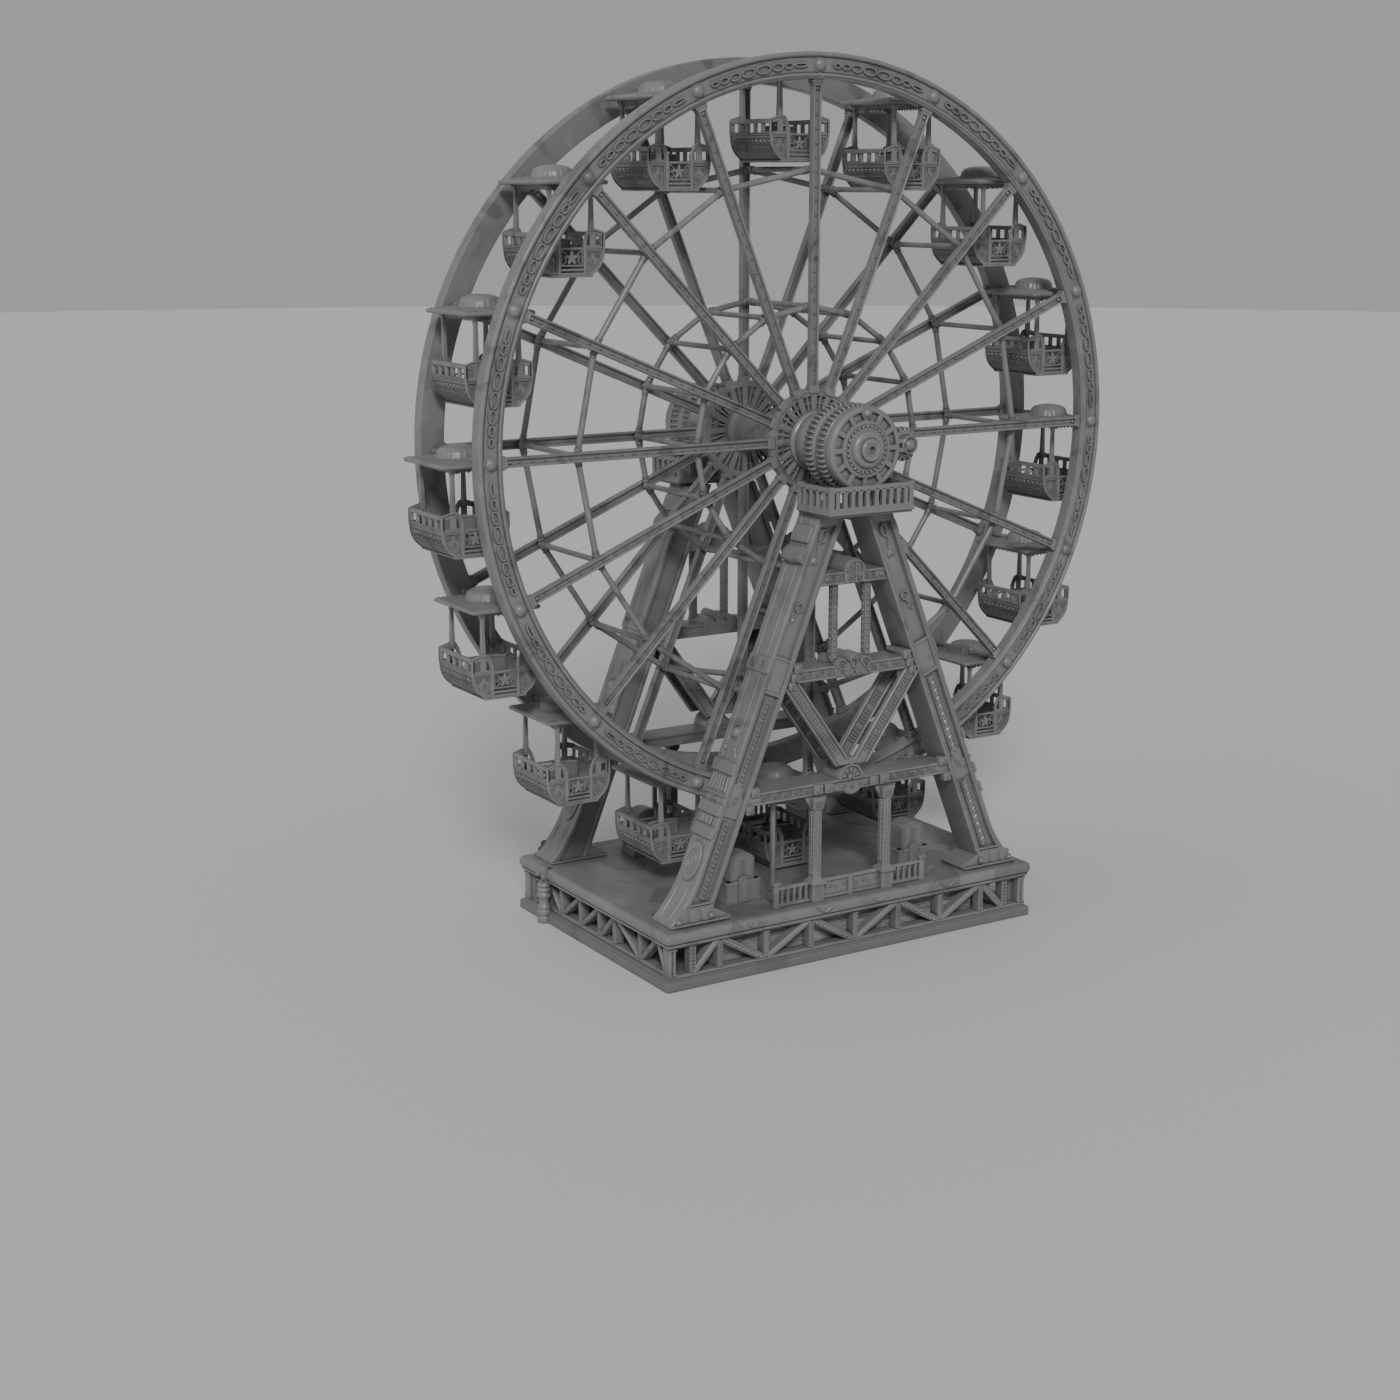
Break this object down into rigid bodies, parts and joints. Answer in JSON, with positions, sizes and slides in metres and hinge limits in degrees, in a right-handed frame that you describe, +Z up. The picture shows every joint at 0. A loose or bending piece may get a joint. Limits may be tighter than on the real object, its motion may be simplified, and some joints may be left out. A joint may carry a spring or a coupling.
{
  "type": "fairground ferris wheel",
  "caption": "Spoked observation wheel with level hanging gondolas, carried between two A-frame towers on a trussed plinth and driven by gear drums and pinions.",
  "frame": {"origin": "middle of the underside of the plinth, on the ground", "axes": "+Z up, X along the plane of the wheel, Y along its axle with the front towards -Y"},
  "size_m": [17.6, 7.44, 19.626],
  "materials": {
    "tower_paint": "satin grey",
    "deck_paint": "satin grey",
    "wheel_paint": "satin grey",
    "gear_metal": "semi-gloss grey",
    "gondola_paint": "satin grey"
  },
  "bodies": {
    "tower": {"base_slab": "tower_paint", "plinth_truss_front": "tower_paint", "plinth_truss_back": "tower_paint", "plinth_truss_left": "tower_paint", "plinth_truss_right": "tower_paint", "plinth_core": "tower_paint", "deck": "deck_paint", "side_column_left": "tower_paint", "side_column_right": "tower_paint", "leg_front_left": "tower_paint", "leg_front_right": "tower_paint", "upper_beam_front": "tower_paint", "middle_beam_front": "tower_paint", "lower_beam_front": "tower_paint", "v_brace_front": "tower_paint", "colonnade_front": "tower_paint", "balcony_front": "tower_paint", "bearing_housing_front": "gear_metal", "booth_front_left": "tower_paint", "booth_front_right": "tower_paint", "leg_back_left": "tower_paint", "leg_back_right": "tower_paint", "upper_beam_back": "tower_paint", "middle_beam_back": "tower_paint", "lower_beam_back": "tower_paint", "v_brace_back": "tower_paint", "colonnade_back": "tower_paint", "balcony_back": "tower_paint", "bearing_housing_back": "gear_metal", "booth_back_left": "tower_paint", "booth_back_right": "tower_paint"},
    "wheel": {"rim_front": "wheel_paint", "rim_back": "wheel_paint", "spokes_front": "wheel_paint", "spokes_back": "wheel_paint", "outer_brace_ring": "wheel_paint", "inner_brace_ring": "wheel_paint", "hub_axle": "wheel_paint", "gear_drum_front": "gear_metal", "gear_drum_back": "gear_metal"},
    "gondola_01": {"gondola_01": "gondola_paint"},
    "gondola_02": {"gondola_02": "gondola_paint"},
    "gondola_03": {"gondola_03": "gondola_paint"},
    "gondola_04": {"gondola_04": "gondola_paint"},
    "gondola_05": {"gondola_05": "gondola_paint"},
    "gondola_06": {"gondola_06": "gondola_paint"},
    "gondola_07": {"gondola_07": "gondola_paint"},
    "gondola_08": {"gondola_08": "gondola_paint"},
    "gondola_09": {"gondola_09": "gondola_paint"},
    "gondola_10": {"gondola_10": "gondola_paint"},
    "gondola_11": {"gondola_11": "gondola_paint"},
    "gondola_12": {"gondola_12": "gondola_paint"},
    "gondola_13": {"gondola_13": "gondola_paint"},
    "gondola_14": {"gondola_14": "gondola_paint"},
    "gondola_15": {"gondola_15": "gondola_paint"},
    "gondola_16": {"gondola_16": "gondola_paint"},
    "pinion_front": {"pinion_front": "gear_metal"},
    "pinion_back": {"pinion_back": "gear_metal"}
  },
  "joints": [
    {"name": "wheel_spin", "type": "hinge", "parent": "tower", "child": "wheel", "pos_m": [0, 0, 11.356], "axis": [0, 1, 0], "continuous": true},
    {"name": "gondola_01_swing", "type": "hinge", "parent": "wheel", "child": "gondola_01", "pos_m": [0, 0, 19.356], "axis": [0, 1, 0], "continuous": true},
    {"name": "gondola_02_swing", "type": "hinge", "parent": "wheel", "child": "gondola_02", "pos_m": [3.06147, 0, 18.74704], "axis": [0, 1, 0], "continuous": true},
    {"name": "gondola_03_swing", "type": "hinge", "parent": "wheel", "child": "gondola_03", "pos_m": [5.65685, 0, 17.01285], "axis": [0, 1, 0], "continuous": true},
    {"name": "gondola_04_swing", "type": "hinge", "parent": "wheel", "child": "gondola_04", "pos_m": [7.39104, 0, 14.41747], "axis": [0, 1, 0], "continuous": true},
    {"name": "gondola_05_swing", "type": "hinge", "parent": "wheel", "child": "gondola_05", "pos_m": [8, 0, 11.356], "axis": [0, 1, 0], "continuous": true},
    {"name": "gondola_06_swing", "type": "hinge", "parent": "wheel", "child": "gondola_06", "pos_m": [7.39104, 0, 8.29453], "axis": [0, 1, 0], "continuous": true},
    {"name": "gondola_07_swing", "type": "hinge", "parent": "wheel", "child": "gondola_07", "pos_m": [5.65685, 0, 5.69915], "axis": [0, 1, 0], "continuous": true},
    {"name": "gondola_08_swing", "type": "hinge", "parent": "wheel", "child": "gondola_08", "pos_m": [3.06147, 0, 3.96496], "axis": [0, 1, 0], "continuous": true},
    {"name": "gondola_09_swing", "type": "hinge", "parent": "wheel", "child": "gondola_09", "pos_m": [0, 0, 3.356], "axis": [0, 1, 0], "continuous": true},
    {"name": "gondola_10_swing", "type": "hinge", "parent": "wheel", "child": "gondola_10", "pos_m": [-3.06147, 0, 3.96496], "axis": [0, 1, 0], "continuous": true},
    {"name": "gondola_11_swing", "type": "hinge", "parent": "wheel", "child": "gondola_11", "pos_m": [-5.65685, 0, 5.69915], "axis": [0, 1, 0], "continuous": true},
    {"name": "gondola_12_swing", "type": "hinge", "parent": "wheel", "child": "gondola_12", "pos_m": [-7.39104, 0, 8.29453], "axis": [0, 1, 0], "continuous": true},
    {"name": "gondola_13_swing", "type": "hinge", "parent": "wheel", "child": "gondola_13", "pos_m": [-8, 0, 11.356], "axis": [0, 1, 0], "continuous": true},
    {"name": "gondola_14_swing", "type": "hinge", "parent": "wheel", "child": "gondola_14", "pos_m": [-7.39104, 0, 14.41747], "axis": [0, 1, 0], "continuous": true},
    {"name": "gondola_15_swing", "type": "hinge", "parent": "wheel", "child": "gondola_15", "pos_m": [-5.65685, 0, 17.01285], "axis": [0, 1, 0], "continuous": true},
    {"name": "gondola_16_swing", "type": "hinge", "parent": "wheel", "child": "gondola_16", "pos_m": [-3.06147, 0, 18.74704], "axis": [0, 1, 0], "continuous": true},
    {"name": "pinion_front_spin", "type": "hinge", "parent": "tower", "child": "pinion_front", "pos_m": [1.2837, 0, 11.356], "axis": [0, 1, 0], "continuous": true},
    {"name": "pinion_back_spin", "type": "hinge", "parent": "tower", "child": "pinion_back", "pos_m": [1.2837, 0, 11.356], "axis": [0, 1, 0], "continuous": true}
  ],
  "couplings": [
    {"joint": "gondola_01_swing", "follows": "wheel_spin", "ratio": -1},
    {"joint": "gondola_02_swing", "follows": "wheel_spin", "ratio": -1},
    {"joint": "gondola_03_swing", "follows": "wheel_spin", "ratio": -1},
    {"joint": "gondola_04_swing", "follows": "wheel_spin", "ratio": -1},
    {"joint": "gondola_05_swing", "follows": "wheel_spin", "ratio": -1},
    {"joint": "gondola_06_swing", "follows": "wheel_spin", "ratio": -1},
    {"joint": "gondola_07_swing", "follows": "wheel_spin", "ratio": -1},
    {"joint": "gondola_08_swing", "follows": "wheel_spin", "ratio": -1},
    {"joint": "gondola_09_swing", "follows": "wheel_spin", "ratio": -1},
    {"joint": "gondola_10_swing", "follows": "wheel_spin", "ratio": -1},
    {"joint": "gondola_11_swing", "follows": "wheel_spin", "ratio": -1},
    {"joint": "gondola_12_swing", "follows": "wheel_spin", "ratio": -1},
    {"joint": "gondola_13_swing", "follows": "wheel_spin", "ratio": -1},
    {"joint": "gondola_14_swing", "follows": "wheel_spin", "ratio": -1},
    {"joint": "gondola_15_swing", "follows": "wheel_spin", "ratio": -1},
    {"joint": "gondola_16_swing", "follows": "wheel_spin", "ratio": -1},
    {"joint": "pinion_front_spin", "follows": "wheel_spin", "ratio": -2.6667},
    {"joint": "pinion_back_spin", "follows": "wheel_spin", "ratio": -2.6667}
  ]
}
